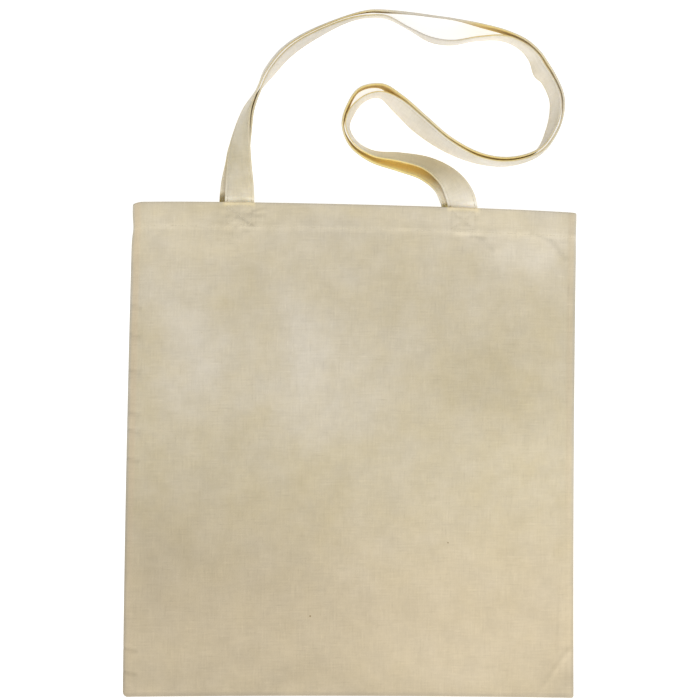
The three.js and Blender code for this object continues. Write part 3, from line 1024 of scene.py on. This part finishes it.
def weave_nodes(tree, shader):
    """Plain weave with thick and thin yarns: returns how the yarns lighten and darken the colour.
    Calico has about 22 yarns to the centimetre, which is too fine to show, so the yarns are drawn 1.4 mm
    apart and their thick stretches as wide."""
    yarn, slub_width, slub_length, fuzz_size = 0.0014, 0.0014, 0.016, 0.022
    weave_share, fuzz_share, streak_share = 0.18, 4.0, 4.0
    middle = 1 + fuzz_share / 2
    cloth = add_node(tree, "TexCoord").outputs["UV"]
    parts = add_node(tree, "SeparateXYZ", {"Vector": cloth})
    waves = []
    for axis in ("X", "Y"):
        turns = add_node(tree, "Math", {0: parts.outputs[axis], 1: math.pi / yarn}, operation="MULTIPLY")
        waves.append(add_node(tree, "Math", {0: turns.outputs[0]}, operation="SINE"))
    weave = add_node(tree, "Math", {0: waves[0].outputs[0], 1: waves[1].outputs[0]}, operation="MULTIPLY")
    slubs, streaks = [], []
    for scale in ((1 / slub_width, 1 / slub_length, 1), (1 / slub_length, 1 / slub_width, 1)):
        stretched = add_node(tree, "Mapping", {"Vector": cloth, "Scale": scale})
        slub = add_node(
            tree, "TexNoise", {"Vector": stretched.outputs[0], "Scale": 1.0, "Detail": 2.0, "Roughness": 0.6})
        slubs.append(slub.outputs["Fac"])
        # The cube leaves only the thickest and the thinnest stretches to show as streaks
        uneven = add_node(tree, "Math", {0: slub.outputs["Fac"], 1: 0.5}, operation="SUBTRACT")
        streaks.append(add_node(tree, "Math", {0: uneven.outputs[0], 1: 3.0}, operation="POWER"))
    yarns = add_node(tree, "Math", {0: slubs[0], 1: slubs[1]}, operation="ADD")
    streaky = add_node(
        tree, "Math", {0: streaks[0].outputs[0], 1: streaks[1].outputs[0]}, operation="ADD")
    level = add_node(
        tree, "Math", {0: weave.outputs[0], 1: weave_share, 2: yarns.outputs[0]}, operation="MULTIPLY_ADD")
    bump = add_node(tree, "Bump", {"Height": level.outputs[0], "Strength": 0.5, "Distance": 0.0003})
    tree.links.new(bump.outputs[0], shader.inputs["Normal"])
    fuzz = add_node(
        tree, "TexNoise", {"Vector": cloth, "Scale": 1 / fuzz_size, "Detail": 6.0, "Roughness": 0.76})
    grain = add_node(
        tree, "Math", {0: fuzz.outputs["Fac"], 1: fuzz_share, 2: yarns.outputs[0]}, operation="MULTIPLY_ADD")
    shade = add_node(
        tree, "MapRange",
        {"Value": grain.outputs[0], "From Min": middle - 0.5, "From Max": middle + 0.5,
         "To Min": 0.955, "To Max": 1.045})
    return add_node(
        tree, "Math", {0: streaky.outputs[0], 1: streak_share, 2: shade.outputs[0]}, operation="MULTIPLY_ADD")


def cotton_surface(shader):
    """Matt fibre surface with a faint fuzz."""
    shader.inputs["Roughness"].default_value = 0.92
    shader.inputs["Specular IOR Level"].default_value = 0.2
    shader.inputs["Sheen Weight"].default_value = 0.15
    shader.inputs["Sheen Roughness"].default_value = 0.6


def calico_colour(tree, shader, first_tone, second_tone, third_tone):
    """Colour of the woven cloth: two tones in soft clouds, and a third along the seams and low on the bag,
    which on the straps is the painted golden glow between them, lightened and darkened by the piece's painted
    light and shade and by its yarns."""
    cloud_size = 0.03
    yarns = weave_nodes(tree, shader)
    place = add_node(tree, "TexCoord").outputs["Object"]
    clouds = add_node(
        tree, "TexNoise", {"Vector": place, "Scale": 1 / cloud_size, "Detail": 4.0, "Roughness": 0.6})
    second = add_node(tree, "Attribute", attribute_name="second_tone")
    cloudy = add_node(
        tree, "MapRange",
        {"Value": clouds.outputs["Fac"], "From Min": 0.3, "From Max": 0.7, "To Min": 0.05, "To Max": 0.45})
    share = add_node(
        tree, "Math", {0: cloudy.outputs[0], 1: second.outputs["Fac"]}, operation="ADD", use_clamp=True)
    base = add_node(
        tree, "Mix", {MIX_FACTOR: share.outputs[0], MIX_A: first_tone, MIX_B: second_tone}, data_type="RGBA")
    warmth_and_glow = add_node(tree, "Attribute", attribute_name="warmth_and_glow")
    trimmed = add_node(
        tree, "Mix", {MIX_FACTOR: warmth_and_glow.outputs["Fac"], MIX_A: base.outputs[MIX_RESULT], MIX_B: third_tone},
        data_type="RGBA")
    tone = add_node(tree, "Attribute", attribute_name="tone")
    light = add_node(tree, "Math", {0: tone.outputs["Fac"], 1: 1.0}, operation="ADD")
    value = add_node(tree, "Math", {0: light.outputs[0], 1: yarns.outputs[0]}, operation="MULTIPLY")
    toned = add_node(tree, "HueSaturation", {"Color": trimmed.outputs[MIX_RESULT], "Value": value.outputs[0]})
    return toned.outputs[0]


def calico_material(colours):
    """Unbleached calico, woven and pressed: matt, cream, with khaki and greyer clouds, thick and thin yarns
    and a few husk flecks."""
    fleck_spacing, fleck_radius, bare_share, fleck_strength = 0.03, 0.00075, 0.6, 0.8
    material, tree, shader = new_material("unbleached_calico")
    cotton_surface(shader)
    toned = calico_colour(tree, shader, tuple(colours.khaki), tuple(colours.grey), tuple(colours.warm))
    place = add_node(tree, "TexCoord").outputs["Object"]
    spots = add_node(tree, "TexVoronoi", {"Vector": place, "Scale": 1 / fleck_spacing})
    small = add_node(
        tree, "Math", {0: spots.outputs["Distance"], 1: fleck_radius / fleck_spacing}, operation="LESS_THAN")
    kind = add_node(tree, "SeparateXYZ", {"Vector": spots.outputs["Color"]})
    some = add_node(tree, "Math", {0: kind.outputs["X"], 1: bare_share}, operation="GREATER_THAN")
    fleck = add_node(tree, "Math", {0: small.outputs[0], 1: some.outputs[0]}, operation="MULTIPLY")
    share = add_node(tree, "Math", {0: fleck.outputs[0], 1: fleck_strength}, operation="MULTIPLY")
    flecked = add_node(
        tree, "Mix", {MIX_FACTOR: share.outputs[0], MIX_A: toned, MIX_B: tuple(colours.fleck)},
        data_type="RGBA")
    tree.links.new(flecked.outputs[MIX_RESULT], shader.inputs["Base Color"])
    return material


def strap_material(colours):
    """Calico folded and sewn into a strap: paler outside, with a painted golden glow where the two straps
    face each other, and a little light comes through."""
    material, tree, shader = new_material("folded_calico_strap")
    cotton_surface(shader)
    shader.inputs["Subsurface Weight"].default_value = 0.35
    shader.inputs["Subsurface Scale"].default_value = 0.004
    shader.inputs["Subsurface Radius"].default_value = (1.0, 0.9, 0.7)
    toned = calico_colour(
        tree, shader, tuple(colours.strap), tuple(colours.strap_painted_shade), tuple(colours.strap_painted_glow))
    tree.links.new(toned, shader.inputs["Base Color"])
    return material


def thread_material(colours):
    """Twisted cotton sewing thread: cream, slightly smoother than the cloth, with a fine diagonal twist."""
    material, tree, shader = new_material("cotton_thread")
    cotton_surface(shader)
    shader.inputs["Roughness"].default_value = 0.7
    twist_pitch = 0.004
    place = add_node(tree, "TexCoord").outputs["Object"]
    twist = add_node(
        tree, "TexWave", {"Vector": place, "Scale": 1 / twist_pitch, "Distortion": 0.5},
        bands_direction="DIAGONAL")
    shade = add_node(tree, "MapRange", {"Value": twist.outputs["Fac"], "To Min": 0.9, "To Max": 1.05})
    colour = add_node(tree, "HueSaturation", {"Color": tuple(colours.thread), "Value": shade.outputs[0]})
    tree.links.new(colour.outputs[0], shader.inputs["Base Color"])
    bump = add_node(tree, "Bump", {"Height": twist.outputs["Fac"], "Strength": 0.4, "Distance": 0.0001})
    tree.links.new(bump.outputs[0], shader.inputs["Normal"])
    return material


def floor_material(colours, stage):
    """Pale studio floor, lit evenly from below as well."""
    material, tree, shader = new_material("pale_floor")
    shader.inputs["Base Color"].default_value = colours.floor
    shader.inputs["Roughness"].default_value = 0.9
    shader.inputs["Emission Color"].default_value = (1, 1, 1, 1)
    shader.inputs["Emission Strength"].default_value = stage.floor_glow
    return material


# Operators


class ToteOperator:
    bl_options = {"REGISTER", "UNDO"}


class TOTE_OT_stage(ToteOperator, bpy.types.Operator):
    """Makes the floor, the lights and the camera above the bag"""

    bl_idname = "tote.stage"
    bl_label = "Stage"

    def execute(self, context):
        scene = context.scene
        stage = scene.tote_stage
        scene.view_settings.view_transform = "Standard"
        bm = bmesh.new()
        bmesh.ops.create_grid(bm, x_segments=1, y_segments=1, size=stage.floor_reach)
        mesh = bpy.data.meshes.new("floor")
        bm.to_mesh(mesh)
        bm.free()
        mesh.materials.append(floor_material(scene.tote_colours, stage))
        floor = bpy.data.objects.new("floor", mesh)
        scene.collection.objects.link(floor)

        world = bpy.data.worlds.new("soft_sky")
        world.use_nodes = True
        sky = world.node_tree.nodes["Background"]
        sky.inputs["Color"].default_value = (1, 1, 1, 1)
        sky.inputs["Strength"].default_value = stage.sky
        scene.world = world

        centre = Vector((*stage.view_centre, 0))
        lamp = bpy.data.lights.new("key_light", "AREA")
        lamp.energy = stage.key
        lamp.size = stage.key_size
        key = bpy.data.objects.new("key_light", lamp)
        key.location = centre + Vector(stage.key_place)
        key.rotation_euler = (centre - key.location).to_track_quat("-Z", "Y").to_euler()
        scene.collection.objects.link(key)

        lens = bpy.data.cameras.new("camera")
        lens.angle = 2 * math.atan(stage.view_width / 2 / stage.camera_height)
        camera = bpy.data.objects.new("camera", lens)
        camera.location = centre + Vector((0, 0, stage.camera_height))
        camera.rotation_euler = (0, 0, stage.view_turn)
        scene.collection.objects.link(camera)
        scene.camera = camera
        return {"FINISHED"}


class TOTE_OT_materials(ToteOperator, bpy.types.Operator):
    """Makes the cloth, strap and thread materials"""

    bl_idname = "tote.materials"
    bl_label = "Materials"

    def execute(self, context):
        colours = context.scene.tote_colours
        calico_material(colours)
        strap_material(colours)
        thread_material(colours)
        return {"FINISHED"}


class TOTE_OT_panels(ToteOperator, bpy.types.Operator):
    """Makes the front and the back cloth with their hems turned in"""

    bl_idname = "tote.panels"
    bl_label = "Panels"

    def execute(self, context):
        back = panel_piece(context, "back_panel_cloth", -1)
        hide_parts("back_panel")
        front = panel_piece(context, "front_panel_cloth", 1)
        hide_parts("front_panel")
        return {"FINISHED"}


class TOTE_OT_straps(ToteOperator, bpy.types.Operator):
    """Makes the two carrying straps along their looped course"""

    bl_idname = "tote.straps"
    bl_label = "Straps"

    def execute(self, context):
        front = strap_piece(context, "front_strap_cloth", False)
        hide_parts("front_strap")
        back = strap_piece(context, "back_strap_cloth", True)
        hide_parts("back_strap")
        return {"FINISHED"}


class TOTE_OT_panel_stitches(ToteOperator, bpy.types.Operator):
    """Sews the hems and the boxed crosses at the strap ends"""

    bl_idname = "tote.panel_stitches"
    bl_label = "Panel stitches"

    def execute(self, context):
        sizes, sewing = context.scene.tote_sizes, context.scene.tote_sewing
        hems, boxes = bmesh.new(), bmesh.new()
        template = stitch_template()
        for side in (1, -1):
            panel = Panel(sizes, sewing, side)
            reach = sizes.mouth_width / 2 - sewing.seam_allowance / 2
            stitch_panel_line(hems, template, panel, (-reach, sewing.hem_line, reach, sewing.hem_line))
            for line in panel.box_lines():
                stitch_panel_line(boxes, template, panel, line)
        thread = bpy.data.materials["cotton_thread"]
        add_piece(context, "hem_stitches", hems, thread)
        add_piece(context, "strap_end_stitches", boxes, thread)
        return {"FINISHED"}


class TOTE_OT_strap_stitches(ToteOperator, bpy.types.Operator):
    """Sews both edges of the straps"""

    bl_idname = "tote.strap_stitches"
    bl_label = "Strap stitches"

    def execute(self, context):
        sizes, sewing = context.scene.tote_sizes, context.scene.tote_sewing
        across = sizes.strap_width / 2 - sewing.edge_inset
        level = half_thickness(sizes, sewing, across)
        steps_per_row = 40
        bm = bmesh.new()
        template = stitch_template()
        for is_back in (False, True):
            spaced = 0
            for spot in strap_frames(sizes, is_back, steps_per_row):
                if spot.length < spaced:
                    continue
                spaced += sewing.stitch_pitch
                for side in (-across, across):
                    for face in (-1, 1):
                        middle = spot.middle + spot.across * side + spot.face * face * level
                        add_stitch(bm, template, sewing, middle, spot.along, spot.face * face)
        add_piece(context, "strap_edge_stitches", bm, bpy.data.materials["cotton_thread"])
        return {"FINISHED"}


class TOTE_PT_panel(bpy.types.Panel):
    """Lists the steps that build the bag"""

    bl_idname = "TOTE_PT_panel"
    bl_label = "Tote bag"
    bl_space_type = "VIEW_3D"
    bl_region_type = "UI"
    bl_category = "Tote bag"

    def draw(self, context):
        for step in STEPS:
            self.layout.operator(step.bl_idname)


STEPS = (
    TOTE_OT_stage,
    TOTE_OT_materials,
    TOTE_OT_panels,
    TOTE_OT_straps,
    TOTE_OT_panel_stitches,
    TOTE_OT_strap_stitches,
)
GROUPS = {
    "tote_sizes": ToteSizes,
    "tote_sewing": ToteSewing,
    "tote_colours": ToteColours,
    "tote_stage": ToteStage,
}


def register():
    for cls in (*GROUPS.values(), *STEPS, TOTE_PT_panel):
        bpy.utils.register_class(cls)
    for name, group in GROUPS.items():
        setattr(bpy.types.Scene, name, PointerProperty(type=group))


def unregister():
    for name in GROUPS:
        delattr(bpy.types.Scene, name)
    for cls in (TOTE_PT_panel, *reversed(STEPS), *GROUPS.values()):
        bpy.utils.unregister_class(cls)


def main():
    register()
    bpy.ops.tote.stage()
    bpy.ops.tote.materials()
    bpy.ops.tote.panels()
    bpy.ops.tote.straps()
    bpy.ops.tote.panel_stitches()
    bpy.ops.tote.strap_stitches()


if __name__ == "__main__":
    main()
